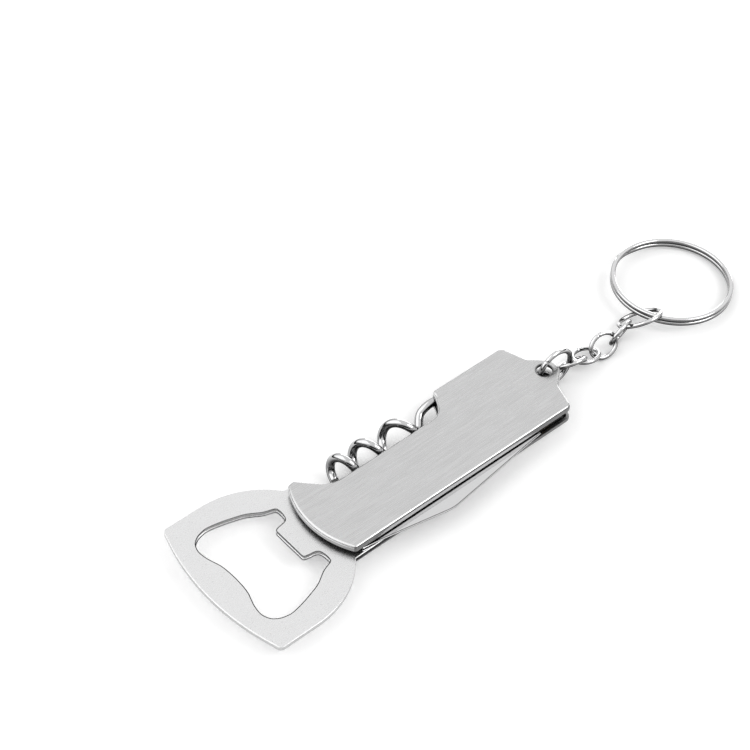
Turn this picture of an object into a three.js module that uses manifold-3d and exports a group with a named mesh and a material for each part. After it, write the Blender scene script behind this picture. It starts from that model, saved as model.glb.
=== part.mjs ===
import * as THREE from "three";
import { mergeVertices } from "three/addons/utils/BufferGeometryUtils.js";
import Module from "manifold-3d";

// Keychain bottle opener, millimetres. The origin is the middle of the flat back of the bottom
// cover, +X runs from the opener head to the split ring, +Y to the corkscrew side, +Z up.

// Layers of the tool, bottom to top
const BACK_SHEET = 0.7;
const BACK_LINER = [1.0, 1.35];
const PLATE = [1.4, 2.7];
const BLADE = [2.8, 3.4];
const FRONT_FLANGE = 3.8;
const FRONT_LINER = [3.85, 4.2];
const FRONT_SHEET = 4.7;
const FRONT_FACE = 5.4;

// Covers
const COVER_HALF_WIDTH = 11.9;
const COVER_WALL = 0.8;
const COVER_ROLL = 0.65;
const HEAD_APEX = -35.1;
const HEAD_ARC = 22.5;
const HEAD_CORNER = [-31.7, 11.9];
const SHOULDER = [34.5, 5.4];
const TAB_RADIUS = 3.7;
const RING_HOLE = [35, 0];
const HOLE_RADIUS = 1.92;

// Opener plate
const MOUTH_APEX = -55.75;
const PLATE_APEX = -62.9;
const PLATE_CORNER = [-59.6, 19.9];
const HEAD_HALF_WIDTH = 20.7;
const NECK_ARC = 22.2;
const ROOT_HALF_WIDTH = 12.3;

// Pivots and pins
const KNIFE_PIVOT = [27, -7.5];
const SCREW_PIVOT = [17, 8.4];
const PIN_RADIUS = 1.2;
const PIN_HEAD = 2.0;
const PIN_PLAY = 0.06;
const HEAD_RIVETS = [
  [-30.6, -3.6],
  [-30.6, 3.6],
];
const SPRING_RIVETS = [
  [-14, 0],
  [12, 0],
];

// Corkscrew
const WORM_WIRE = 1.05;
const WORM_RADIUS = 2.7;
const WORM_AXIS = { x: -8.6, y: 9.13, z: 2.7, lean: -0.015 };
const WORM_PITCH = 8.85;
const WORM_STRETCH = 0.03;
const WORM_TIP = -1.65;
const WORM_END = 17.9;
const SHANK = [
  [8.9, 11.15, 2.35],
  [11.9, 10.95, 2.63],
];
const EYE_RADIUS = 2.3;

// Chain and rings
const LINK_WIRE = 0.55;
const JUMP_RING = { radius: 4.8, wire: 0.65, at: [38.5, 0, 3.8] };
const LINKS = [
  { a: 3.5, b: 2.77, at: [44.31, 0.39, 1.17], turn: [-18.9, -8.1, -43.3] },
  { a: 3.5, b: 2.77, at: [48.95, 0.26, 0.61], turn: [2.1, 9.1, -10.1] },
  { a: 3.5, b: 2.77, at: [53.95, -0.56, 1.3], turn: [-5.2, -12.1, 55.6] },
  { a: 3.5, b: 2.77, at: [59.51, -0.46, 1.89], turn: [7.9, -14.2, -71.9] },
  { a: 5.17, b: 3.98, at: [66.13, -0.23, 2.06], turn: [-37.5, -19.7, -25.1] },
];
const SPLIT_RING = {
  outer: 15,
  width: 1.25,
  thick: 1.05,
  pitch: 1.15,
  ramp: 0.7,
  gap: 0.12,
  stations: 92,
  pose: { at: [81.84, 4.48, 0.88], turn: [119.9, -2, 4] },
};
// Corners of the ring's band, as shares of half its width and half its thickness
const BAND = [
  [-0.5, -1],
  [0.5, -1],
  [1, -0.45],
  [1, 0.45],
  [0.5, 1],
  [-0.5, 1],
  [-1, 0.45],
  [-1, -0.45],
];

const wasm = await Module();
wasm.setup();

// Solids and meshes

function solid(geometry) {
  const plain = geometry.clone();
  plain.deleteAttribute("normal");
  plain.deleteAttribute("uv");
  const merged = mergeVertices(plain, 1e-4);
  return new wasm.Manifold(
    new wasm.Mesh({
      numProp: 3,
      vertProperties: merged.attributes.position.array,
      triVerts: new Uint32Array(merged.index.array),
    }),
  );
}

function meshOf(name, body, material) {
  const made = body.getMesh();
  const geometry = new THREE.BufferGeometry();
  geometry.setAttribute("position", new THREE.BufferAttribute(made.vertProperties, 3));
  geometry.setIndex(new THREE.BufferAttribute(made.triVerts, 1));
  geometry.computeVertexNormals();
  const mesh = new THREE.Mesh(geometry, material);
  mesh.name = name;
  return mesh;
}

// Outlines

const vec = (x, y) => new THREE.Vector2(x, y);

function arc(cx, cy, r, from, to, steps) {
  const curve = new THREE.EllipseCurve(cx, cy, r, r, from, to, to < from);
  return curve.getPoints(steps);
}

function spline(points, steps) {
  return new THREE.SplineCurve(points.map(([x, y]) => vec(x, y))).getPoints(steps);
}

const mirrorX = (points) => points.map((p) => vec(p.x, -p.y)).reverse();

// Moves every point of a counterclockwise outline inwards by a distance.
function inset(points, distance) {
  const n = points.length;
  return points.map((p, i) => {
    const before = points[(i + n - 1) % n];
    const after = points[(i + 1) % n];
    const a = p.clone().sub(before).normalize();
    const b = after.clone().sub(p).normalize();
    const normal = vec(-(a.y + b.y), a.x + b.x).normalize();
    const share = Math.max(0.4, normal.dot(vec(-a.y, a.x)));
    return p.clone().addScaledVector(normal, distance / share);
  });
}

function slab(points, z0, z1, holes = []) {
  const shape = new THREE.Shape(points);
  for (const [x, y, r] of holes) {
    shape.holes.push(new THREE.Path(arc(x, y, r, 0, 2 * Math.PI, 28).slice(0, -1)));
  }
  const geometry = new THREE.ExtrudeGeometry(shape, { depth: z1 - z0, bevelEnabled: false });
  return solid(geometry.translate(0, 0, z0));
}

function box(x0, x1, y0, y1, z0, z1) {
  const geometry = new THREE.BoxGeometry(x1 - x0, y1 - y0, z1 - z0);
  return solid(geometry.translate((x0 + x1) / 2, (y0 + y1) / 2, (z0 + z1) / 2));
}

function rod(x, y, r, z0, z1, sides = 28) {
  const geometry = new THREE.CylinderGeometry(r, r, z1 - z0, sides);
  return solid(geometry.rotateX(Math.PI / 2).translate(x, y, (z0 + z1) / 2));
}

function tube(x, y, inner, outer, z0, z1) {
  const profile = [vec(inner, z0), vec(outer, z0), vec(outer, z1), vec(inner, z1), vec(inner, z0)];
  const geometry = new THREE.LatheGeometry(profile, 28);
  return solid(geometry.rotateX(Math.PI / 2).translate(x, y, 0));
}

// Covers: a shell with a rolled rim; the corkscrew side has a deep notch.

const tabAngle = (38.5 * Math.PI) / 180;

function headEnd() {
  const centre = HEAD_APEX + HEAD_ARC;
  const half = Math.asin((HEAD_CORNER[1] - 1.2) / HEAD_ARC);
  return arc(centre, 0, HEAD_ARC, Math.PI - half, Math.PI + half, 16);
}

function ringEnd() {
  const tab = arc(...RING_HOLE, TAB_RADIUS, -tabAngle, tabAngle, 14);
  const foot = vec(SHOULDER[0] + 0.25, -SHOULDER[1] + 0.9);
  const heel = vec(SHOULDER[0] - 0.2, -SHOULDER[1] - 0.6);
  const corner = [vec(31.0, -COVER_HALF_WIDTH), vec(31.9, -11.6), vec(32.6, -10.9)];
  const near = [...corner, heel, foot];
  return [...near, ...tab, ...mirrorX(near)];
}

function coverOutline() {
  const nearCorner = [vec(-31.9, -11.2), vec(-31.55, -11.75), vec(-31.0, -COVER_HALF_WIDTH)];
  const notch = [
    vec(11.3, 11.85),
    vec(10.72, 11.4),
    vec(10.46, 10.25),
    vec(9.64, 8.65),
    vec(8.72, 7.09),
    vec(8.07, 6.52),
    vec(6.25, 5.75),
    vec(4.6, 5.4),
    vec(-21.4, 5.4),
    vec(-22.9, 5.6),
    vec(-24.2, 6.0),
    vec(-25.25, 6.67),
    vec(-26.3, 7.6),
    vec(-27.8, 9.14),
    vec(-29.0, 10.55),
    vec(-29.7, 11.15),
    vec(-30.4, 11.4),
    vec(-31.2, 11.3),
  ];
  return [...headEnd(), ...nearCorner, ...ringEnd(), ...notch];
}

function coverShell(z0, z1, faceUp) {
  const outline = coverOutline();
  const shape = new THREE.Shape(outline);
  const geometry = new THREE.ExtrudeGeometry(shape, {
    depth: 6,
    bevelSize: COVER_ROLL,
    bevelThickness: COVER_ROLL,
    bevelOffset: -COVER_ROLL,
    bevelSegments: 2,
  });
  const body = solid(geometry.translate(0, 0, faceUp ? z1 - COVER_ROLL - 6 : z0 + COVER_ROLL));
  const waste = faceUp ? box(-60, 60, -30, 30, z0 - 20, z0) : box(-60, 60, -30, 30, z1, z1 + 20);
  const inside = inset(outline, COVER_WALL);
  const cavity = faceUp
    ? slab(inside, z0 - 1, FRONT_SHEET)
    : slab(inside, BACK_SHEET, z1 + 1);
  const hole = rod(...RING_HOLE, HOLE_RADIUS, z0 - 1, z1 + 1, 32);
  return body.subtract(waste).subtract(cavity).subtract(hole);
}

const topCover = coverShell(FRONT_FLANGE, FRONT_FACE, true);
const bottomCover = coverShell(0, PLATE[0], false);

// Liners: thin plates inside the covers that carry the pins.

const pinHoles = [KNIFE_PIVOT, SCREW_PIVOT, ...HEAD_RIVETS, ...SPRING_RIVETS];
const linerHoles = pinHoles.map((p) => [...p, PIN_RADIUS + PIN_PLAY]);
const linerOutline = [
  ...arc(HEAD_APEX + HEAD_ARC, 0, HEAD_ARC - 1.1, 0.862 * Math.PI, 1.165 * Math.PI, 10),
  vec(-30.6, -10.7),
  vec(31.0, -10.7),
  vec(32.4, -6.2),
  vec(32.4, 6.2),
  vec(31.0, 10.7),
  vec(12.2, 10.7),
  vec(11.6, 10.1),
  vec(9.0, 5.8),
  vec(6.0, 4.3),
  vec(-22.5, 4.3),
  vec(-26.0, 5.6),
];
const bottomLiner = slab(linerOutline, ...BACK_LINER, linerHoles);
const topLiner = slab(linerOutline, ...FRONT_LINER, linerHoles);

// Opener plate: the wide head outside the covers and the tang between them.

function mouth() {
  const half = [
    [MOUTH_APEX, 0],
    [-55.85, 2.5],
    [-56.1, 4.6],
    [-56.65, 6.4],
    [-57.2, 8.2],
    [-57.5, 10.4],
    [-57.3, 11.9],
    [-56.6, 13.35],
    [-55.7, 14.2],
    [-54.4, 14.9],
    [-52.6, 15.3],
    [-51.1, 15.24],
    [-48.4, 14.7],
    [-45.3, 13.8],
    [-42.6, 12.8],
    [-39.5, 10.9],
    [-37.0, 10.0],
    [-36.35, 9.1],
    [-36.3, 7.3],
    [-36.75, 5.7],
    [-37.7, 5.05],
    [-39.2, 4.8],
  ];
  const side = [...spline(half, 44), vec(-40.3, 4.6), vec(-40.35, 4.4)];
  return [...side, ...mirrorX(side.slice(1))];
}

function plateOutline() {
  const headArc = 63;
  const half = Math.asin((PLATE_CORNER[1] - 0.6) / headArc);
  const front = arc(PLATE_APEX + headArc, 0, headArc, Math.PI - half, Math.PI + half, 18);
  const side = [vec(-59.35, -20.35), vec(-58.6, -HEAD_HALF_WIDTH)];
  const flank = HEAD_HALF_WIDTH - NECK_ARC;
  const turn = Math.PI - Math.acos((ROOT_HALF_WIDTH + flank) / NECK_ARC) - Math.PI / 2;
  const neck = arc(-49.5, -flank, NECK_ARC, -Math.PI / 2, -Math.PI / 2 + turn, 14);
  const nearRoot = [...side, ...neck];
  const farRoot = mirrorX(nearRoot);
  const tang = [
    vec(-20.6, -ROOT_HALF_WIDTH),
    vec(-20, -11.6),
    vec(21.3, -10.9),
    vec(22.6, -4.2),
    vec(30.6, -3.6),
    vec(33.2, -2.9),
    ...arc(...RING_HOLE, 3.35, -0.6 * Math.PI, 0.6 * Math.PI, 16),
    vec(31.4, 4.6),
    vec(21, 4.6),
    vec(14.9, 4.6),
    vec(11.0, 5.0),
    vec(-21.6, 5.0),
    vec(-25.5, 6.1),
    vec(-28.2, 8.9),
    vec(-29.2, 11.2),
    vec(-29.9, ROOT_HALF_WIDTH),
  ];
  return [...front, ...nearRoot, ...tang, ...farRoot];
}

const plateHoles = [...HEAD_RIVETS, ...SPRING_RIVETS].map((p) => [...p, PIN_RADIUS + PIN_PLAY]);
plateHoles.push([...RING_HOLE, HOLE_RADIUS]);
const openerPlate = slab(plateOutline(), ...PLATE, plateHoles).subtract(
  slab(mouth(), PLATE[0] - 1, PLATE[1] + 1),
);

// Middle layer: root spacer over the plate, spring strip down the middle.

function bar(x0, x1, y0, y1, z0, z1, holes) {
  const corners = [vec(x0, y0), vec(x1, y0), vec(x1, y1), vec(x0, y1)];
  return slab(corners, z0, z1, holes);
}

const rivetHole = ([x, y]) => [x, y, PIN_RADIUS + PIN_PLAY];
const MIDDLE = [PLATE[1] + 0.05, FRONT_LINER[0] - 0.05];
const rootSpacer = bar(-32.6, -28.6, -6.2, 7.4, ...MIDDLE, HEAD_RIVETS.map(rivetHole));
const backSpring = bar(-26, 20, -2.2, 3.6, ...MIDDLE, SPRING_RIVETS.map(rivetHole));

// Knife: hump-backed blade folded along the near side, cutting edge inwards.

const bladeOutline = [
  vec(22.7, -11.3),
  vec(22.6, -12.3),
  vec(-6.4, -15.9),
  vec(-8.2, -15.7),
  vec(-25.0, -12.3),
  vec(-29.2, -11.5),
  vec(-29.0, -11.1),
  vec(-26.5, -9.3),
  vec(-22.5, -7.6),
  vec(-17.0, -6.6),
  vec(-9.0, -6.1),
  vec(14.5, -5.6),
  vec(16.0, -4.9),
  vec(24.8, -4.35),
  ...arc(...KNIFE_PIVOT, 3.8, 0.62 * Math.PI, -0.5 * Math.PI, 14),
];

const knifeHole = rod(...KNIFE_PIVOT, PIN_RADIUS + PIN_PLAY, 0, 6);
const knifeBlade = slab(bladeOutline, ...BLADE).subtract(knifeHole);

// Pins: a headed shaft through both liners. Bushes and washers set each tool's height.

function pin([x, y]) {
  const shaft = rod(x, y, PIN_RADIUS, 0.9, 4.3);
  const low = rod(x, y, PIN_HEAD, 0.75, 0.95);
  const high = rod(x, y, PIN_HEAD, 4.25, 4.6);
  return shaft.add(low).add(high);
}

const sleeve = ([x, y], outer, z0, z1) => tube(x, y, PIN_RADIUS + PIN_PLAY, outer, z0, z1);
const knifeBush = sleeve(KNIFE_PIVOT, 2.6, BACK_LINER[1] + 0.03, BLADE[0] - 0.03);
const screwWasher = sleeve(SCREW_PIVOT, 2.0, BACK_LINER[1] + 0.03, 1.54);

// Corkscrew: right-handed worm, straight shank and an eye bent round its pin.

class Worm extends THREE.Curve {
  getPoint(u, target = new THREE.Vector3()) {
    const t = WORM_TIP + (WORM_END - WORM_TIP) * u;
    const turn = t - 3 * Math.PI;
    const x = WORM_AXIS.x + (WORM_PITCH * turn) / (2 * Math.PI) + WORM_STRETCH * turn * turn;
    const y = WORM_AXIS.y + WORM_AXIS.lean * turn + WORM_RADIUS * Math.cos(t - 0.07);
    const z = WORM_AXIS.z + WORM_RADIUS * Math.sin(t - 0.07);
    return target.set(x, y, z);
  }
}

function section(r, sides) {
  const points = arc(0, 0, r, 0, 2 * Math.PI, sides).slice(0, -1);
  return new THREE.Shape(points);
}

function sweep(curve, r, steps, sides) {
  const options = { steps, bevelEnabled: false, extrudePath: curve };
  return solid(new THREE.ExtrudeGeometry(section(r, sides), options));
}

function wormPath() {
  const worm = new Worm();
  const points = worm.getPoints(84);
  const [px, py] = SCREW_PIVOT;
  const level = SHANK[1][2];
  SHANK.forEach((p) => points.push(new THREE.Vector3(...p)));
  for (let i = 0; i <= 16; i++) {
    const angle = 0.62 * Math.PI - (1.9 * Math.PI * i) / 16;
    const x = px + EYE_RADIUS * Math.cos(angle);
    const y = py + EYE_RADIUS * Math.sin(angle);
    points.push(new THREE.Vector3(x, y, level));
  }
  return new THREE.CatmullRomCurve3(points);
}

const corkscrew = sweep(wormPath(), WORM_WIRE, 140, 8);

// Links and rings

class Oval extends THREE.Curve {
  constructor(a, b) {
    super();
    this.a = a;
    this.b = b;
  }
  getPoint(u, target = new THREE.Vector3()) {
    const t = 0.001 + (2 * Math.PI - 0.002) * u;
    return target.set(this.a * Math.cos(t), this.b * Math.sin(t), 0);
  }
}

// A pose is a place and yaw, pitch and roll in degrees.
function placed(geometry, { at, turn }) {
  const [yaw, pitch, roll] = turn.map((degrees) => (degrees * Math.PI) / 180);
  const spin = new THREE.Euler(roll, pitch, yaw, "ZYX");
  geometry.applyMatrix4(new THREE.Matrix4().makeRotationFromEuler(spin));
  return solid(geometry.translate(...at));
}

function link(pose) {
  const options = { steps: 28, bevelEnabled: false, extrudePath: new Oval(pose.a, pose.b) };
  return placed(new THREE.ExtrudeGeometry(section(LINK_WIRE, 8), options), pose);
}

function jumpRing() {
  const { radius, wire, at } = JUMP_RING;
  const geometry = new THREE.TorusGeometry(radius, wire, 10, 44);
  return solid(geometry.rotateX(Math.PI / 2).translate(...at));
}

// Split ring: oval wire wound twice, stepping up one layer over a short ramp.
class SplitWire extends THREE.Curve {
  getPoint(u, target = new THREE.Vector3()) {
    const t = (4 * Math.PI - SPLIT_RING.gap) * u;
    const start = 2 * Math.PI - SPLIT_RING.ramp;
    const step = THREE.MathUtils.smoothstep(t, start, start + SPLIT_RING.ramp);
    const r = SPLIT_RING.outer - SPLIT_RING.width / 2;
    return target.set(r * Math.cos(t), r * Math.sin(t), SPLIT_RING.pitch * (step - 0.5));
  }
}

// The band is built station by station so that its flat faces stay level along the ramp.
function splitRing() {
  const { width, thick, stations, pose } = SPLIT_RING;
  const wire = new SplitWire();
  const positions = [];
  const faces = [];
  for (let i = 0; i <= stations; i++) {
    const centre = wire.getPoint(i / stations);
    const out = vec(centre.x, centre.y).normalize();
    for (const [r, h] of BAND) {
      const shift = (r * width) / 2;
      positions.push(centre.x + out.x * shift, centre.y + out.y * shift, centre.z + (h * thick) / 2);
    }
  }
  const n = BAND.length;
  for (let i = 0; i < stations; i++) {
    for (let k = 0; k < n; k++) {
      const a = i * n + k;
      const b = i * n + ((k + 1) % n);
      faces.push(a, b + n, b, a, a + n, b + n);
    }
  }
  for (let k = 1; k < n - 1; k++) {
    faces.push(0, k, k + 1, stations * n, stations * n + k + 1, stations * n + k);
  }
  const geometry = new THREE.BufferGeometry();
  geometry.setAttribute("position", new THREE.Float32BufferAttribute(positions, 3));
  geometry.setIndex(faces);
  return placed(geometry, pose);
}

// Materials, one per node so that each piece can take its own finish.

const steel = (color, roughness) => new THREE.MeshStandardMaterial({ color, roughness, metalness: 1 });

const tool = new THREE.Group();
tool.name = "keychain_bottle_opener";

function add(name, body, material) {
  tool.add(meshOf(name, body, material));
}

add("top_cover", topCover, steel(0xc9ccd0, 0.38));
add("bottom_cover", bottomCover, steel(0xc4c7cb, 0.38));
add("top_liner", topLiner, steel(0x9da0a3, 0.45));
add("bottom_liner", bottomLiner, steel(0x9da0a3, 0.45));
add("opener_plate", openerPlate, steel(0xdcdee0, 0.33));
add("root_spacer", rootSpacer, steel(0x8f9295, 0.5));
add("back_spring", backSpring, steel(0xb4b7ba, 0.35));
add("knife_blade", knifeBlade, steel(0xd6d8db, 0.16));
add("knife_bush", knifeBush, steel(0xc9b27a, 0.35));
add("corkscrew", corkscrew, steel(0xd2d4d8, 0.12));
add("corkscrew_washer", screwWasher, steel(0xb9bcbf, 0.35));
add("knife_pin", pin(KNIFE_PIVOT), steel(0xb0b3b6, 0.3));
add("corkscrew_pin", pin(SCREW_PIVOT), steel(0xb0b3b6, 0.3));
add("head_rivet_near", pin(HEAD_RIVETS[0]), steel(0xb0b3b6, 0.3));
add("head_rivet_far", pin(HEAD_RIVETS[1]), steel(0xb0b3b6, 0.3));
add("spring_rivet_head_end", pin(SPRING_RIVETS[0]), steel(0xb0b3b6, 0.3));
add("spring_rivet_ring_end", pin(SPRING_RIVETS[1]), steel(0xb0b3b6, 0.3));
add("jump_ring", jumpRing(), steel(0xd8dadd, 0.1));
LINKS.forEach((pose, i) => add("chain_link_" + (i + 1), link(pose), steel(0xd8dadd, 0.1)));
add("split_ring", splitRing(), steel(0xd8dadd, 0.12));

export default tool;
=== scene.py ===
import bmesh
import bpy
import math
from mathutils import Matrix, Vector

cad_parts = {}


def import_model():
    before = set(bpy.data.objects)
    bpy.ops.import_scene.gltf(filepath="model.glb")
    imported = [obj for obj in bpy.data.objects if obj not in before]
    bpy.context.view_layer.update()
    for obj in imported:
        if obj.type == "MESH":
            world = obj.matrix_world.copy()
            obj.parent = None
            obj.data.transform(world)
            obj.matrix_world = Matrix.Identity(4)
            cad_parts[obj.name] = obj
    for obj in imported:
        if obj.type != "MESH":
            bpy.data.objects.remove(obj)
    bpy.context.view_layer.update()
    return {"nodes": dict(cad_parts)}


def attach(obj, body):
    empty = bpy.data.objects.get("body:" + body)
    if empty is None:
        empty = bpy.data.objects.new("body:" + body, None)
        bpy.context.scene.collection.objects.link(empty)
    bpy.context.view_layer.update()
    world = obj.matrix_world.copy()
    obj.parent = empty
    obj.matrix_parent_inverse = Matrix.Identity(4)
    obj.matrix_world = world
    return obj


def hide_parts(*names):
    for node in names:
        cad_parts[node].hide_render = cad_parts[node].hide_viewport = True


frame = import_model()
MM = 0.001

# ---------------------------------------------------------------- materials


def stretched_noise(tree, scale, turn=0.0, detail=4.0, roughness=0.6):
    """Noise in object space, scaled per axis in cells per metre, turned about Z."""
    coords = tree.nodes.new("ShaderNodeTexCoord")
    mapping = tree.nodes.new("ShaderNodeMapping")
    mapping.inputs["Rotation"].default_value = (0, 0, turn)
    mapping.inputs["Scale"].default_value = scale
    noise = tree.nodes.new("ShaderNodeTexNoise")
    noise.inputs["Scale"].default_value = 1.0
    noise.inputs["Detail"].default_value = detail
    noise.inputs["Roughness"].default_value = roughness
    tree.links.new(coords.outputs["Object"], mapping.inputs["Vector"])
    tree.links.new(mapping.outputs["Vector"], noise.inputs["Vector"])
    return noise.outputs["Fac"]


def ramp(tree, source, low, high, out_low, out_high):
    made = tree.nodes.new("ShaderNodeMapRange")
    made.inputs["From Min"].default_value = low
    made.inputs["From Max"].default_value = high
    made.inputs["To Min"].default_value = out_low
    made.inputs["To Max"].default_value = out_high
    tree.links.new(source, made.inputs["Value"])
    return made.outputs["Result"]


def joined(tree, operation, a, b):
    made = tree.nodes.new("ShaderNodeMath")
    made.operation = operation
    tree.links.new(a, made.inputs[0])
    tree.links.new(b, made.inputs[1])
    return made.outputs[0]


def add(tree, a, b):
    return joined(tree, "ADD", a, b)


def times(tree, a, b):
    return joined(tree, "MULTIPLY", a, b)


# The two families of scratches: cells per metre along X, Y and Z, and the slant about Z in radians.
SCRATCHES = [((350, 7000, 7000), 0.55), ((250, 5600, 5600), -0.9)]
PITS = (2300, 2300, 2300)
WEAR = (260, 260, 260)
RELIEF_DEPTH = 0.02 * MM


def metal(name, colour, rough, grain=(900, 26000, 9000), grain_rough=0.05, grain_tint=0.04, bump=0.02,
          scratch=0.0, patch=0.03, turn=0.0, painted_shade_below=1.0, specks=0.0):
    """Metal with a directional grain, broad patches of handling wear and, if asked, thin scratches.

    grain is in cells per metre along X, Y and Z. under is the share of the colour kept on faces turned down,
    painted shade that stands in for the dark they reflect. specks is the share of the colour that the
    scattered pits lose.
    """
    mat = bpy.data.materials.new(name)
    mat.use_nodes = True
    tree = mat.node_tree
    shader = tree.nodes["Principled BSDF"]
    shader.inputs["Metallic"].default_value = 1.0
    fine = stretched_noise(tree, grain, turn, 1.5, 0.5)
    broad = stretched_noise(tree, WEAR, 0.4, 5.0, 0.6)
    rough_grain = ramp(tree, fine, 0.3, 0.7, rough - grain_rough, rough + grain_rough)
    rough_patch = ramp(tree, broad, 0.3, 0.75, -patch, patch)
    total = add(tree, rough_grain, rough_patch)
    tint = ramp(tree, fine, 0.25, 0.75, 1.0 - grain_tint, 1.0 + grain_tint * 0.4)
    if scratch:
        for cells, slant in SCRATCHES:
            lines = stretched_noise(tree, cells, turn + slant, 1.0, 0.5)
            total = add(tree, total, ramp(tree, lines, 0.70, 0.76, 0.0, scratch))
    tree.links.new(total, shader.inputs["Roughness"])
    mixed = tree.nodes.new("ShaderNodeVectorMath")
    mixed.operation = "SCALE"
    mixed.inputs[0].default_value = colour
    if specks:
        pits = stretched_noise(tree, PITS, 0.0, 2.0, 0.5)
        tint = times(tree, tint, ramp(tree, pits, 0.68, 0.73, 1.0, 1.0 - specks))
    # Painted shade: faces turned down are darkened by their world normal.
    if painted_shade_below < 1:
        facing = tree.nodes.new("ShaderNodeNewGeometry")
        split = tree.nodes.new("ShaderNodeSeparateXYZ")
        tree.links.new(facing.outputs["Normal"], split.inputs[0])
        tint = times(tree, tint, ramp(tree, split.outputs["Z"], 0.06, 0.76, painted_shade_below, 1.0))
    tree.links.new(tint, mixed.inputs["Scale"])
    tree.links.new(mixed.outputs[0], shader.inputs["Base Color"])
    relief = tree.nodes.new("ShaderNodeBump")
    relief.inputs["Strength"].default_value = bump
    relief.inputs["Distance"].default_value = RELIEF_DEPTH
    tree.links.new(fine, relief.inputs["Height"])
    tree.links.new(relief.outputs["Normal"], shader.inputs["Normal"])
    return mat


COVER = metal("satin_cover_steel", (0.74, 0.74, 0.742), 0.28, grain=(170, 3600, 3600),
              grain_tint=0.07, scratch=0.05, bump=0.05)
# Painted shade: a darker copy of the cover steel for the covers' standing walls.
SHADED_WALL_STEEL = metal("cover_steel_shaded_wall", (0.31, 0.31, 0.312), 0.32, grain=(420, 9000, 9000), bump=0.08)
# Painted shade: a still darker copy of the cover steel for the near side's lower rim, standing in for the
# dark it reflects.
SHADED_LIP_STEEL = metal("cover_steel_shaded_near_lip", (0.19, 0.19, 0.191), 0.32, grain=(420, 9000, 9000), bump=0.08)
# Painted shade: a near-black sheet for hollows, slots and dark edge lines, where only shade falls.
SHADE = metal("painted_shade_black", (0.035, 0.035, 0.036), 0.6, bump=0.08)
PLATE = metal("satin_plate_steel", (0.94, 0.94, 0.943), 0.28, grain=(2200, 8000, 8000),
              grain_rough=0.03, grain_tint=0.02, scratch=0.03, bump=0.015, turn=0.3, specks=0.25)
SHEARED = metal("sheared_plate_edge", (0.58, 0.58, 0.58), 0.42, grain=(5200, 5200, 900),
                grain_tint=0.14, bump=0.2)
BLADE = metal("polished_blade_steel", (0.84, 0.84, 0.845), 0.10, grain=(18000, 1400, 9000),
              grain_rough=0.02, bump=0.03, scratch=0.03)
# CHROME and WORM darken their faces turned down, which is painted shade.
CHROME = metal("bright_chrome", (0.88, 0.88, 0.885), 0.05, grain=(5000, 5000, 5000),
               grain_rough=0.015, grain_tint=0.015, bump=0.01, patch=0.02, painted_shade_below=0.06)
WORM = metal("plated_worm_wire", (0.74, 0.74, 0.745), 0.07, grain=(1300, 1300, 1300),
             grain_rough=0.03, grain_tint=0.12, bump=0.9, patch=0.03, painted_shade_below=0.05)
CUT = metal("cut_wire_end", (0.16, 0.16, 0.16), 0.42, grain=(9000, 9000, 9000), grain_rough=0.08, bump=0.2)
# Steel darkened as painted shade, so the inner parts read as the shade inside the slot.
INNER_STEEL_SHADED = metal("inner_steel_painted_shade", (0.20, 0.20, 0.202), 0.42, bump=0.08)
# Brass hue darkened as painted shade, so the bush barely shows in the slot.
BRASS_SHADED = metal("turned_brass_painted_shade", (0.34, 0.27, 0.14), 0.32, grain=(9000, 9000, 20000), bump=0.06)

# ---------------------------------------------------------------- outlines


def arc(cx, cy, r, start, end, steps):
    """Points on a circle from the start angle to the end angle."""
    turns = [start + (end - start) * i / steps for i in range(steps + 1)]
    return [(cx + r * math.cos(t), cy + r * math.sin(t)) for t in turns]


def rounded(corners, steps=8):
    """A closed outline through corners (x, y, radius), each turned with its own radius."""
    out = []
    n = len(corners)
    for i, (x, y, r) in enumerate(corners):
        here = Vector((x, y))
        if r == 0:
            out.append((x, y))
            continue
        back = (Vector(corners[i - 1][:2]) - here)
        on = (Vector(corners[(i + 1) % n][:2]) - here)
        reach_limit = 0.49 * min(back.length, on.length)
        back.normalize()
        on.normalize()
        half = math.acos(max(-1, min(1, back.dot(on)))) / 2
        reach = min(r / math.tan(half), reach_limit)
        r = reach * math.tan(half)
        centre = here + (back + on).normalized() * (r / math.sin(half))
        a = here + back * reach - centre
        b = here + on * reach - centre
        sweep = a.angle_signed(b) * -1
        for k in range(steps + 1):
            t = sweep * k / steps
            c, s = math.cos(t), math.sin(t)
            out.append((centre.x + a.x * c - a.y * s, centre.y + a.x * s + a.y * c))
    return out


def spline(points, per=6):
    """Catmull-Rom through the points, ends held."""
    pts = [Vector(p) for p in points]
    pts = [pts[0] * 2 - pts[1]] + pts + [pts[-1] * 2 - pts[-2]]
    out = []
    for i in range(1, len(pts) - 2):
        a, b, c, d = pts[i - 1:i + 3]
        for k in range(per):
            t = k / per
            out.append(0.5 * ((2 * b) + (c - a) * t + (2 * a - 5 * b + 4 * c - d) * t * t
                              + (3 * b - a - 3 * c + d) * t ** 3))
    out.append(pts[-2])
    return out


MERGE = 0.02


def even(points, spacing):
    """The closed outline with long runs cut into steps no longer than spacing.

    Points that nearly meet the one before are left out.
    """
    out = []
    for i, a in enumerate(points):
        b = points[(i + 1) % len(points)]
        length = math.dist(a, b)
        steps = max(1, math.ceil(length / spacing))
        for k in range(steps):
            t = k / steps
            out.append((a[0] + (b[0] - a[0]) * t, a[1] + (b[1] - a[1]) * t))
    return [p for i, p in enumerate(out) if math.dist(p, out[i - 1]) > MERGE]


def inset(points, distance):
    """Each point of a counterclockwise outline moved inwards."""
    out = []
    n = len(points)
    for i, p in enumerate(points):
        a = Vector(p) - Vector(points[i - 1])
        b = Vector(points[(i + 1) % n]) - Vector(p)
        a.normalize()
        b.normalize()
        normal = Vector((-(a.y + b.y), a.x + b.x)).normalized()
        share = max(0.5, normal.dot(Vector((-a.y, a.x))))
        q = Vector(p) + normal * (distance / share)
        out.append((q.x, q.y))
    return out


# ---------------------------------------------------------------- meshes


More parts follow.
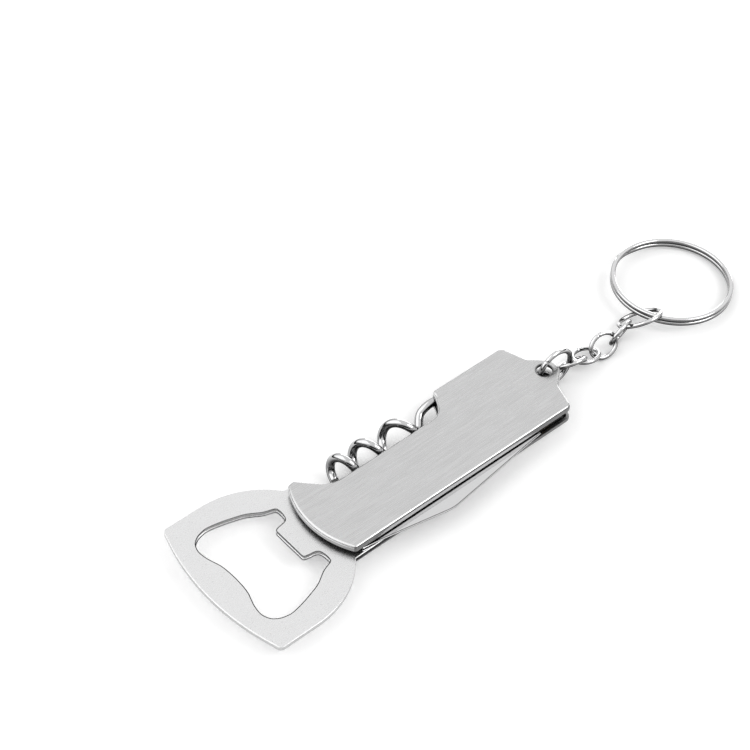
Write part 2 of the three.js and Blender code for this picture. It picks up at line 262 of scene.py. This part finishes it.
def finish_mesh(bm, name, body, mats, replaced, angle=38, weighted=False):
    """An object that rides on the body in place of the replaced nodes.

    Edges are sharp where two faces meet at more than the angle, in degrees.
    """
    bmesh.ops.recalc_face_normals(bm, faces=bm.faces)
    for f in bm.faces:
        f.smooth = True
    mesh = bpy.data.meshes.new(name)
    bm.to_mesh(mesh)
    bm.free()
    mesh.set_sharp_from_angle(angle=math.radians(angle))
    obj = bpy.data.objects.new(name, mesh)
    bpy.context.scene.collection.objects.link(obj)
    for m in mats:
        mesh.materials.append(m)
    if weighted:
        mod = obj.modifiers.new("flat_faces", "WEIGHTED_NORMAL")
        mod.keep_sharp = True
        mod.weight = 90
    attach(obj, body)
    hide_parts(*replaced)


def ring(bm, points, z):
    return [bm.verts.new((x * MM, y * MM, z * MM)) for x, y in points]


def bridge(bm, a, b):
    n = len(a)
    return [bm.faces.new((a[i], a[(i + 1) % n], b[(i + 1) % n], b[i])) for i in range(n)]


def cap(bm, loops):
    """Faces that fill the first loop around the others."""
    edges = []
    for loop in loops:
        n = len(loop)
        for i in range(n):
            pair = (loop[i], loop[(i + 1) % n])
            edges.append(bm.edges.get(pair) or bm.edges.new(pair))
    made = bmesh.ops.triangle_fill(bm, use_beauty=True, edges=edges, normal=(0, 0, 1))
    return [item for item in made["geom"] if isinstance(item, bmesh.types.BMFace)]


def profiled(outline, profile, holes, marks, first_cap=0):
    """Rings of the outline at each (inset, z) of the profile, and of each hole, capped at both ends.

    marks gives the material slot of the strips that don't take the first one.
    """
    bm = bmesh.new()
    starts, ends = [], []
    for points, levels in [(outline, profile)] + holes:
        rows = [ring(bm, inset(points, d), z) for d, z in levels]
        for i, (a, b) in enumerate(zip(rows, rows[1:])):
            for face in bridge(bm, a, b):
                face.material_index = marks.get(i, 0)
        starts.append(rows[0])
        ends.append(rows[-1])
    for face in cap(bm, starts):
        face.material_index = first_cap
    cap(bm, ends)
    return bm


def quarter_turn(steps):
    return [math.pi / 2 * k / steps for k in range(steps + 1)]


ARRIS_STEPS = 3
ARRIS_WALL = ARRIS_STEPS + 1  # the strip of edge_levels that is the upright wall
FLAT = 0.2


def edge_levels(z0, z1, r):
    """A wall from z0 to z1 with both arrises rounded to radius r and a narrow flat beyond each."""
    low = [(r - r * math.sin(t), z0 + r - r * math.cos(t)) for t in quarter_turn(ARRIS_STEPS)]
    high = [(r - r * math.cos(t), z1 - r + r * math.sin(t)) for t in quarter_turn(ARRIS_STEPS)]
    return [(r + FLAT, z0)] + low + high + [(r + FLAT, z1)]


def circle(x, y, r, steps=64):
    return arc(x, y, r, 0, 2 * math.pi, steps)[:-1]


# ---------------------------------------------------------------- covers

HOLE = (35.0, 0.0)
HOLE_RADIUS = 1.92
HALF_WIDTH = 11.9
HEAD_CENTRE = -12.6
HEAD_ARC = 22.5
TAB_RADIUS = 3.7
TAB_ANGLE = 0.90

# Material slots of a cover, beside slot 0 for its face: painted shade in the hollow, a darker shaded copy of
# the steel on the standing wall and a darker one still on the near lip.
HOLLOW, STANDING, NEAR_LIP = 1, 2, 3
ROLL = 0.66
ROLL_STEPS = 8
FLANGE = 0.78
FLANGE_CORNER = 0.1
INNER_CORNER = 0.12
HOLE_RIM = 0.1
FACE_EDGE = 0.22
LIP_DEPTH = 0.2
NEAR_SIDE = -11.5


def head_x(y):
    return HEAD_CENTRE - math.sqrt(HEAD_ARC ** 2 - y * y)


def cover_outline():
    start = math.pi - math.asin(10.4 / HEAD_ARC)
    end = math.pi + math.asin(10.8 / HEAD_ARC)
    head = arc(HEAD_CENTRE, 0, HEAD_ARC, start, end, 40)
    near = [(head_x(HALF_WIDTH), -HALF_WIDTH, 0.95), (32.4, -HALF_WIDTH, 1.6), (34.45, -5.5, 1.1)]
    tab = arc(*HOLE, TAB_RADIUS, -TAB_ANGLE, TAB_ANGLE, 30)
    far = [(34.45, 5.5, 1.1), (32.4, HALF_WIDTH, 1.6), (10.9, HALF_WIDTH, 0.9)]
    far += [(10.45, 10.1, 3.0), (7.6, 5.4, 4.5)]
    notch = [(-24.16, 5.4, 6.5), (-30.15, 11.62, 1.1), (head_x(11.3) + 0.05, 11.35, 0.9)]
    corners = [(x, y, 0) for x, y in head] + near + [(x, y, 0) for x, y in tab] + far + notch
    return even(rounded(corners), 1.2)


def cover(name, body_z, face_z, sheet_z, replaced):
    """A pressed shell: flange standing on body_z, rolled rim, flat face at face_z, hollow up to sheet_z."""
    up = 1 if face_z > body_z else -1
    hollow = [(FLANGE + INNER_CORNER, sheet_z), (FLANGE, sheet_z - up * INNER_CORNER)]
    hollow.append((FLANGE, body_z + up * FLANGE_CORNER))
    foot = [(FLANGE - FLANGE_CORNER, body_z), (FLANGE_CORNER, body_z)]
    foot += [(0.3 * FLANGE_CORNER, body_z + up * 0.3 * FLANGE_CORNER), (0, body_z + up * FLANGE_CORNER)]
    roll = [(ROLL - ROLL * math.cos(t), face_z - up * (ROLL - ROLL * math.sin(t)))
            for t in quarter_turn(ROLL_STEPS)]
    profile = hollow + foot + roll + [(ROLL + FACE_EDGE, face_z)]
    rim = [(HOLE_RIM * math.cos(t) - HOLE_RIM, face_z - up * (HOLE_RIM - HOLE_RIM * math.sin(t)))
           for t in quarter_turn(ARRIS_STEPS)]
    levels = [(0, sheet_z)] + rim + [(-HOLE_RIM - FACE_EDGE, face_z)]
    # The hollow strips and the inner cap take SHADE, painted shade.
    marks = {strip: HOLLOW for strip in range(len(hollow))}
    marks.update({len(hollow) + strip: STANDING for strip in range(len(foot))})
    bm = profiled(cover_outline(), profile, [(circle(*HOLE, HOLE_RADIUS), levels)], marks, HOLLOW)
    # The near side's lower rim takes the lip steel: painted shade.
    lip_z = face_z - up * LIP_DEPTH
    for face in bm.faces:
        middle = face.calc_center_median() / MM
        below_lip = up * (middle.z - lip_z) < 0
        if below_lip and middle.y < NEAR_SIDE and face.material_index != HOLLOW:
            face.material_index = NEAR_LIP
    finish_mesh(bm, name, "tool_body", [COVER, SHADE, SHADED_WALL_STEEL, SHADED_LIP_STEEL], replaced, weighted=True)


cover("front_cover", 3.8, 5.4, 4.7, ["top_cover"])
cover("back_cover", 1.4, 0.0, 0.7, ["bottom_cover"])

# ---------------------------------------------------------------- opener plate

# The far half of the mouth, from the middle of its front edge round to the tooth.
MOUTH = [
    (-55.75, 0), (-55.85, 2.5), (-56.1, 4.6), (-56.65, 6.4), (-57.2, 8.2), (-57.5, 10.4), (-57.3, 11.9),
    (-56.6, 13.35), (-55.7, 14.2), (-54.4, 14.9), (-52.6, 15.3), (-51.1, 15.24), (-48.4, 14.7), (-45.3, 13.8),
    (-42.6, 12.8), (-39.5, 10.9), (-37.0, 10.0), (-36.35, 9.1), (-36.3, 7.3), (-36.75, 5.7), (-37.7, 5.05),
    (-39.2, 4.8),
]
TOOTH_CORNER = [(-40.05, 4.62), (-40.25, 4.5), (-40.34, 4.25)]


def mirrored(points):
    return [(x, -y) for x, y in reversed(points)]


def mouth_outline():
    half = [(p.x, p.y) for p in spline(MOUTH, 5)]
    half += TOOTH_CORNER
    both = half + mirrored(half)[:-1]
    return even(both, 1.0)[::-1]


PLATE_Z = (1.4, 2.7)
HEAD_CORNER = (-59.5, 20.7, 1.3)


def plate_outline():
    front = [(x, y, 0) for x, y in arc(0.1, 0, 63, math.pi - 0.302, math.pi + 0.302, 40)]
    corner_x, corner_y, corner_r = HEAD_CORNER
    neck = arc(-49.5, 1.5, 22.2, -math.pi / 2, -math.pi / 2 + 0.893, 24)
    neck_near = [(x, y, 0) for x, y in neck]
    neck_far = [(x, -y, 0) for x, y in reversed(neck)]
    tang_near = [(-20.6, -12.3, 0.8), (-20, -11.6, 0), (21.3, -10.9, 0.6), (22.6, -4.2, 1.0)]
    tang_near += [(30.6, -3.6, 1), (33.2, -2.9, 0)]
    eye = [(x, y, 0) for x, y in arc(*HOLE, 3.35, -1.885, 1.885, 24)]
    tang_far = [(31.4, 4.6, 1.0), (21, 4.6, 0), (14.9, 4.6, 0), (11, 5, 0), (-21.6, 5, 2), (-25.5, 6.1, 2)]
    tang_far += [(-28.2, 8.9, 1), (-29.2, 11.2, 0.6), (-29.9, 12.3, 0.3)]
    near_side = [(corner_x, -corner_y, corner_r)] + neck_near + tang_near
    far_side = tang_far + neck_far + [HEAD_CORNER]
    return even(rounded(front + near_side + eye + far_side, 6), 1.5)


RIVETS = [(-30.6, -3.6), (-30.6, 3.6), (-14, 0), (12, 0)]
RIVET_HOLE = 1.25
PLATE_ARRIS = 0.14
MOUTH_ARRIS = 0.22
TANG_START = -33.5  # past here all but the corner of a shoulder is between the covers


def opener_plate():
    mouth_edge = edge_levels(*PLATE_Z, MOUTH_ARRIS)
    holes = [(mouth_outline(), mouth_edge), (circle(*HOLE, HOLE_RADIUS)[::-1], mouth_edge)]
    holes += [(circle(x, y, RIVET_HOLE, 32)[::-1], [(0, z) for z in PLATE_Z]) for x, y in RIVETS]
    bm = profiled(plate_outline(), edge_levels(*PLATE_Z, PLATE_ARRIS), holes, {ARRIS_WALL: 1})
    # Edge walls past TANG_START take SHADE: painted shade for the dark slot between the covers.
    for face in bm.faces:
        if face.material_index == 1 and face.calc_center_median().x > TANG_START * MM:
            face.material_index = 2
    mats = [PLATE, SHEARED, SHADE]
    finish_mesh(bm, "opener_head_plate", "tool_body", mats, ["opener_plate"], weighted=True)


opener_plate()

# ---------------------------------------------------------------- knife

KNIFE_PIVOT = (27.0, -7.5)
BLADE_Z = (2.8, 3.4)
TIP_X = -29.5
HEEL_X = 14.5
TANG_RADIUS = 3.8
GRIND = 2.6
BACK_ROUND = 0.13


def interpolate(table, x):
    for (x0, y0), (x1, y1) in zip(table, table[1:]):
        if x0 <= x <= x1:
            return y0 + (y1 - y0) * (x - x0) / (x1 - x0)
    return table[0][1] if x < table[0][0] else table[-1][1]


def tang_y(x, side):
    return KNIFE_PIVOT[1] + side * math.sqrt(max(0.0, TANG_RADIUS ** 2 - (x - KNIFE_PIVOT[0]) ** 2))


SPINE = [
    (TIP_X, -11.65), (-25.0, -12.36), (-8.4, -15.66), (-7.4, -15.81), (-6.4, -15.86),
    (-5.2, -15.76), (22.5, -12.31), (22.62, -12.1), (22.7, -11.3), (27, -11.3),
]
EDGE = [
    (TIP_X, -11.55), (-29.2, -11.1), (-28.6, -10.45), (-27.6, -9.75), (-26, -8.95),
    (-24, -8.15), (-21.5, -7.45), (-18, -6.85), (-14, -6.45), (-9, -6.15), (0, -5.9),
    (HEEL_X, -5.6), (16, -4.9), (24.8, -4.4),
]


def blade_stations():
    """Places along the blade: every half millimetre, each point of its outline, and round the tang."""
    outline = {round(x, 3) for x, _ in SPINE + EDGE}
    steady = {round(TIP_X + 0.5 * i, 3) for i in range(105)}
    tang = {round(KNIFE_PIVOT[0] + TANG_RADIUS * math.sin(i * math.pi / 40), 3) for i in range(20)}
    return sorted(outline | steady | tang | {KNIFE_PIVOT[0] + TANG_RADIUS - 0.005})


def blade_section(x):
    """From back to edge: pairs of the distance from the back and the share of the half thickness there."""
    wide = max(edge_y(x) - spine_y(x), 0.02)
    back = min(BACK_ROUND, wide * 0.2)
    section = [(0.0, 0.72), (back, 1.0)]
    if x < HEEL_X:
        ground = min(GRIND, wide * 0.55)
        return section + [(wide - ground, 1.0), (wide - 0.35 * min(1, ground), 0.34), (wide, 0.04)]
    return section + [(wide - 3 * back, 1.0), (wide - back, 1.0), (wide, 0.72)]


def spine_y(x):
    return interpolate(SPINE, x) if x < KNIFE_PIVOT[0] else tang_y(x, -1)


def edge_y(x):
    return interpolate(EDGE, x) if x < 24.9 else tang_y(x, 1)


def knife_blade():
    """Slot 1 is painted shade: a dark line along each arris of the back, and the lower part of the back
    itself.
    """
    middle = sum(BLADE_Z) / 2
    half = (BLADE_Z[1] - BLADE_Z[0]) / 2
    bm = bmesh.new()
    rows_top, rows_low, rows_back = [], [], []
    for x in blade_stations():
        points = [(spine_y(x) + offset, half * share) for offset, share in blade_section(x)]
        rows_top.append([bm.verts.new((x * MM, y * MM, (middle + z) * MM)) for y, z in points])
        rows_low.append([bm.verts.new((x * MM, y * MM, (middle - z) * MM)) for y, z in points])
        rows_back.append(bm.verts.new((x * MM, spine_y(x) * MM, (middle - 0.2 * half) * MM)))
    for rows in (rows_top, rows_low):
        for a, b in zip(rows, rows[1:]):
            for k in range(len(a) - 1):
                bm.faces.new((a[k], b[k], b[k + 1], a[k + 1])).material_index = 1 if k == 0 else 0
    for i in range(len(rows_back) - 1):
        top, low = rows_top[i:i + 2], rows_low[i:i + 2]
        back_a, back_b = rows_back[i:i + 2]
        bm.faces.new((top[0][0], top[1][0], back_b, back_a))
        bm.faces.new((back_a, back_b, low[1][0], low[0][0])).material_index = 1
        bm.faces.new((top[0][-1], top[1][-1], low[1][-1], low[0][-1]))
    for i in (0, -1):
        bm.faces.new(rows_top[i] + rows_low[i][::-1] + [rows_back[i]])
    finish_mesh(bm, "folding_knife_blade", "knife", [BLADE, SHADE], ["knife_blade"], angle=14)


knife_blade()

# ---------------------------------------------------------------- wires


def sweep(points, section):
    """Rings of the section carried along the points without twisting; slot 1 is the two cut ends."""
    bm = bmesh.new()
    last = len(points) - 1
    tangents = [(points[min(i + 1, last)] - points[max(i - 1, 0)]).normalized() for i in range(last + 1)]
    side = tangents[0].orthogonal().normalized()
    rows = []
    for i, (p, t) in enumerate(zip(points, tangents)):
        side = (side - t * side.dot(t)).normalized()
        third = t.cross(side)
        rows.append([bm.verts.new((p + side * u + third * v) * MM) for u, v in section(i / last)])
    for a, b in zip(rows, rows[1:]):
        bridge(bm, a, b)
    bm.faces.new(rows[0][::-1]).material_index = 1
    bm.faces.new(rows[-1]).material_index = 1
    return bm


def round_section(r, sides, ends):
    """A circle; over the given share of the length at each end the wire's arris is rounded off."""
    def at(u):
        near = min(u, 1 - u)
        size = r
        if near < ends:
            size = r * (0.86 + 0.14 * math.sqrt(1 - (1 - near / ends) ** 2))
        turns = [2 * math.pi * k / sides for k in range(sides)]
        return [(size * math.cos(t), size * math.sin(t)) for t in turns]
    return at


SCREW_PIVOT = (17.0, 8.4)
SCREW_LEVEL = 2.63
EYE_RADIUS = 2.3
WORM_WIRE = 1.05
WORM_RADIUS = 2.7
WORM_MIDDLE = (-8.6, 9.13, 2.7)
WORM_PITCH = 8.85
WORM_STRETCH = 0.03
WORM_LEAN = -0.015
WORM_TIP, WORM_END, WORM_STEP = -1.65, 17.3, 0.07  # radians along the helix
SHANK = [(6.5, 11.05, 1.05), (8.9, 11.3, 2.2), (11.9, 10.95, SCREW_LEVEL)]


def worm_point(angle):
    """A right-handed helix along X whose pitch grows and whose axis leans a little."""
    from_middle = angle - 3 * math.pi
    x, y, z = WORM_MIDDLE
    x += WORM_PITCH * from_middle / (2 * math.pi) + WORM_STRETCH * from_middle ** 2
    y += WORM_LEAN * from_middle + WORM_RADIUS * math.cos(angle - WORM_STEP)
    return Vector((x, y, z + WORM_RADIUS * math.sin(angle - WORM_STEP)))


def corkscrew():
    count = math.ceil((WORM_END - WORM_TIP) / WORM_STEP)
    points = [worm_point(WORM_TIP + WORM_STEP * i) for i in range(count)]
    lead = points[-6::5] + [Vector(p) for p in SHANK]
    for x, y in arc(*SCREW_PIVOT, EYE_RADIUS, 0.62 * math.pi, -1.28 * math.pi, 16):
        lead.append(Vector((x, y, SCREW_LEVEL)))
    points = points[:-6] + spline(lead, 7)
    bm = sweep(points, round_section(WORM_WIRE, 28, 0.002))
    finish_mesh(bm, "corkscrew_worm", "corkscrew", [WORM, CUT], ["corkscrew"])


corkscrew()


def pose_of(at, turn):
    yaw, pitch, roll = (math.radians(v) for v in turn)
    spin = Matrix.Rotation(yaw, 4, "Z") @ Matrix.Rotation(pitch, 4, "Y") @ Matrix.Rotation(roll, 4, "X")
    return Matrix.Translation(Vector(at)) @ spin


def oval_wire(name, body, replaced, a, b, r, place, gap, start):
    """A bent wire link whose two cut ends meet with a hairline gap at the start angle."""
    half = gap / (2 * a)
    turns = [start + half + (2 * math.pi - 2 * half) * i / 120 for i in range(121)]
    points = [place @ Vector((a * math.cos(t), b * math.sin(t), 0)) for t in turns]
    bm = sweep(points, round_section(r, 24, 0.004))
    finish_mesh(bm, name, body, [CHROME, CUT], replaced)


JUMP_RING_RADIUS = 4.8
JUMP_RING_WIRE = 0.65
JUMP_RING_POSE = pose_of((38.5, 0, 3.8), (0, 0, 90))
oval_wire("hanging_jump_ring", "jump_ring", ["jump_ring"], JUMP_RING_RADIUS, JUMP_RING_RADIUS, JUMP_RING_WIRE,
          JUMP_RING_POSE, 0.08, 2.2)

# Each link: half length and half width to the wire's middle, its place, and its three turns in degrees.
LINK_WIRE = 0.55
LINKS = [
    (3.5, 2.77, (44.31, 0.39, 1.17), (-18.9, -8.1, -43.3)),
    (3.5, 2.77, (48.95, 0.26, 0.61), (2.1, 9.1, -10.1)),
    (3.5, 2.77, (53.95, -0.56, 1.3), (-5.2, -12.1, 55.6)),
    (3.5, 2.77, (59.51, -0.46, 1.89), (7.9, -14.2, -71.9)),
    (5.17, 3.98, (66.13, -0.23, 2.06), (-37.5, -19.7, -25.1)),
]
for i, (half_length, half_width, at, turn) in enumerate(LINKS, 1):
    oval_wire(f"chain_wire_link_{i}", f"link_{i}", [f"chain_link_{i}"], half_length, half_width, LINK_WIRE,
              pose_of(at, turn), 0.07, math.pi / 2)

RING_POSE = pose_of((81.84, 4.48, 0.88), (119.9, -2.0, 4.0))


def smoothstep(x, low, high):
    t = max(0.0, min(1.0, (x - low) / (high - low)))
    return t * t * (3 - 2 * t)


RING_OUTER = 14.985
RING_WIDTH, RING_THICK, RING_CORNER = 1.25, 1.05, 0.42
RING_PITCH = 1.15
RING_RAMP = 0.7
RING_TURNS = 4 * math.pi - 0.12


def ring_section():
    """The wire's rounded oblong: across its thickness, and outwards along its width."""
    section = []
    for quarter, (side, out) in enumerate(((1, 1), (-1, 1), (-1, -1), (1, -1))):
        corner = (side * (RING_THICK / 2 - RING_CORNER), out * (RING_WIDTH / 2 - RING_CORNER))
        start = quarter * math.pi / 2
        section += arc(*corner, RING_CORNER, start, start + math.pi / 2, 5)
    return section


def split_ring():
    """Oval wire wound twice; the wire steps up one layer over a short ramp before its second turn."""
    section = ring_section()
    middle = RING_OUTER - RING_WIDTH / 2
    steps = 420
    bm = bmesh.new()
    rows = []
    for i in range(steps + 1):
        t = RING_TURNS * i / steps
        z = RING_PITCH * (smoothstep(t, 2 * math.pi - RING_RAMP, 2 * math.pi) - 0.5)
        out = Vector((math.cos(t), math.sin(t), 0))
        shrink = {0: 0.8, 1: 0.93}.get(min(i, steps - i), 1.0)
        row = [RING_POSE @ (out * (middle + v * shrink) + Vector((0, 0, z + u * shrink))) for u, v in section]
        rows.append([bm.verts.new(p * MM) for p in row])
    for a, b in zip(rows, rows[1:]):
        bridge(bm, a, b)
    bm.faces.new(rows[0][::-1]).material_index = 1
    bm.faces.new(rows[-1]).material_index = 1
    finish_mesh(bm, "split_key_ring", "split_ring", [CHROME, CUT], ["split_ring"], angle=60)


split_ring()

# ---------------------------------------------------------------- inner pieces kept from the CAD

# The inner pieces take the darkened steel and brass: painted shade for the slot between the covers.
STEEL_NODES = [
    "top_liner", "bottom_liner", "root_spacer", "back_spring", "corkscrew_washer", "knife_pin",
    "corkscrew_pin", "head_rivet_near", "head_rivet_far", "spring_rivet_head_end", "spring_rivet_ring_end",
]
for name, material in [(node, INNER_STEEL_SHADED) for node in STEEL_NODES] + [("knife_bush", BRASS_SHADED)]:
    data = frame["nodes"][name].data
    data.materials.clear()
    data.materials.append(material)

# ---------------------------------------------------------------- floor, light and camera

FLOOR_Z = -1.68 * MM


def floor():
    bm = bmesh.new()
    bmesh.ops.create_grid(bm, x_segments=8, y_segments=8, size=3.0)
    for v in bm.verts:
        v.co.z = FLOOR_Z
    mesh = bpy.data.meshes.new("table_floor")
    bm.to_mesh(mesh)
    bm.free()
    obj = bpy.data.objects.new("table_floor", mesh)
    bpy.context.scene.collection.objects.link(obj)
    mat = bpy.data.materials.new("white_table")
    mat.use_nodes = True
    shader = mat.node_tree.nodes["Principled BSDF"]
    shader.inputs["Base Color"].default_value = (0.95, 0.95, 0.95, 1)
    shader.inputs["Emission Color"].default_value = (1, 1, 1, 1)
    shader.inputs["Emission Strength"].default_value = 0.17
    shader.inputs["Roughness"].default_value = 0.75
    shader.inputs["Specular IOR Level"].default_value = 0.15
    mesh.materials.append(mat)


floor()


DARK_SIDE = (-0.642, -0.760, 0.10)  # the unlit part of the studio, low on the camera's side
SKY_STOPS = [(0.02, 0.02), (0.16, 0.02), (0.26, 0.5), (0.42, 0.8), (0.95, 0.8)]  # height, brightness


def world():
    """A pale sky over a dark horizon, with the dark side masked out of it."""
    made = bpy.data.worlds.new("studio")
    bpy.context.scene.world = made
    made.use_nodes = True
    tree = made.node_tree
    back = tree.nodes["Background"]
    coords = tree.nodes.new("ShaderNodeTexCoord")
    split = tree.nodes.new("ShaderNodeSeparateXYZ")
    tree.links.new(coords.outputs["Generated"], split.inputs[0])
    height = tree.nodes.new("ShaderNodeValToRGB")
    stops = height.color_ramp.elements
    stops[0].position = 0.0
    stops[0].color = (1, 1, 1, 1)
    stops[1].position = 1.0
    stops[1].color = (0.8, 0.8, 0.8, 1)
    for place, value in SKY_STOPS:
        stop = stops.new(place)
        stop.color = (value, value, value, 1)
    tree.links.new(split.outputs["Z"], height.inputs["Fac"])
    facing = tree.nodes.new("ShaderNodeVectorMath")
    facing.operation = "DOT_PRODUCT"
    facing.inputs[1].default_value = DARK_SIDE
    tree.links.new(coords.outputs["Generated"], facing.inputs[0])
    flag = tree.nodes.new("ShaderNodeMapRange")
    flag.interpolation_type = "SMOOTHSTEP"
    flag.inputs["From Min"].default_value = 0.80
    flag.inputs["From Max"].default_value = 0.93
    flag.inputs["To Min"].default_value = 1.0
    flag.inputs["To Max"].default_value = 0.05
    tree.links.new(facing.outputs["Value"], flag.inputs["Value"])
    both = tree.nodes.new("ShaderNodeVectorMath")
    both.operation = "SCALE"
    tree.links.new(height.outputs["Color"], both.inputs[0])
    tree.links.new(flag.outputs["Result"], both.inputs["Scale"])
    tree.links.new(both.outputs[0], back.inputs["Color"])
    back.inputs["Strength"].default_value = 1.0


world()


AIM = (0.01, 0.0, 0.0)


def area(name, at, size, power, towards=AIM):
    light = bpy.data.lights.new(name, "AREA")
    light.shape = "RECTANGLE"
    light.size, light.size_y = size
    light.energy = power
    obj = bpy.data.objects.new(name, light)
    bpy.context.scene.collection.objects.link(obj)
    obj.location = at
    obj.rotation_euler = (Vector(towards) - Vector(at)).to_track_quat("-Z", "Y").to_euler()


area("key_softbox", (-0.48, 0.36, 0.70), (1.08, 1.08), 2.3)
area("end_strip", (0.66, 0.41, 0.15), (0.6, 0.3), 1.3, (0.03, 0.0, 0.0))
area("fill_softbox", (0.36, -0.46, 0.58), (0.4, 0.4), 1.5)


VIEW_TARGET = Vector((7.343, 27.937, 0)) * MM
VIEW_DISTANCE = 526.68 * MM


def camera():
    azimuth, elevation = math.radians(-40.22), math.radians(47.32)
    level = math.cos(elevation)
    back = Vector((math.sin(azimuth) * level, -math.cos(azimuth) * level, math.sin(elevation)))
    right = Vector((math.cos(azimuth), math.sin(azimuth), 0))
    up = back.cross(right)
    data = bpy.data.cameras.new("camera")
    data.lens = 108.0
    data.sensor_width = 36.0
    data.clip_start = 0.01
    obj = bpy.data.objects.new("camera", data)
    bpy.context.scene.collection.objects.link(obj)
    basis = Matrix((right, up, back)).transposed().to_4x4()
    obj.matrix_world = Matrix.Translation(VIEW_TARGET + back * VIEW_DISTANCE) @ basis
    bpy.context.scene.camera = obj


camera()
bpy.context.scene.view_settings.view_transform = "Standard"
